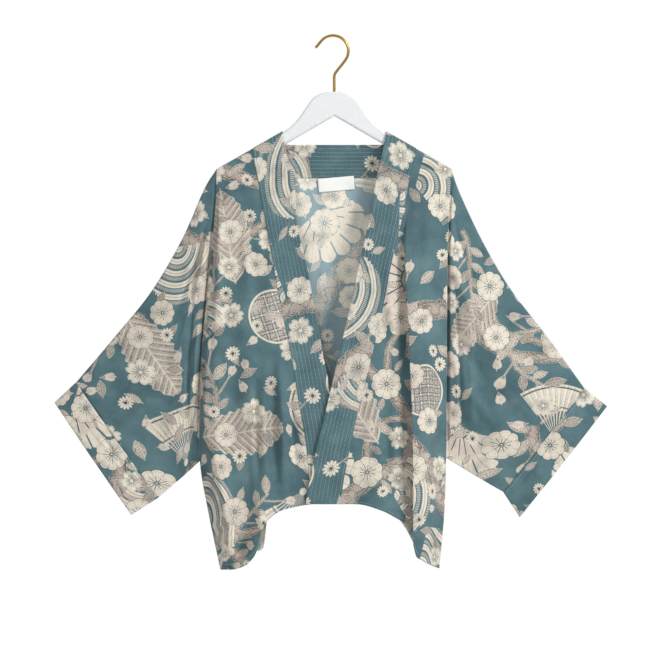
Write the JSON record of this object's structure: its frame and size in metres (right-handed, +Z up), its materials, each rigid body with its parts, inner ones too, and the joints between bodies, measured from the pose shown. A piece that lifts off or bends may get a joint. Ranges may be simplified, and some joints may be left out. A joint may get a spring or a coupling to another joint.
{
  "type": "kimono jacket on a hanger",
  "caption": "Short open-front kimono jacket with wide drop sleeves, applied cuffs and a stitched neckband, hung on a flat wooden hanger with a wire hook.",
  "frame": {"origin": "the underside of the top of the hook's bend, where a rail or pin carries the hanger; nearly everything lies below it", "axes": "+Z up; -Y is the garment's front; +X is the wearer's left"},
  "size_m": [0.8842, 0.0683, 0.8565],
  "materials": {
    "printed_cloth": "light crepe, teal ground printed with cream and taupe leaves and blossoms",
    "doubled_cloth": "the same printed crepe, doubled",
    "label_tape": "smooth woven tape, bare",
    "painted_wood": "white satin paint",
    "hook_wire": "polished"
  },
  "bodies": {
    "root": {"back": "printed_cloth", "front_right": "printed_cloth", "front_left": "printed_cloth", "sleeve_right": "printed_cloth", "sleeve_left": "printed_cloth", "cuff_right": "doubled_cloth", "cuff_left": "doubled_cloth", "neckband": "doubled_cloth", "neck_label": "label_tape", "hanger_board": "painted_wood", "hanger_hook": "hook_wire"}
  },
  "joints": []
}
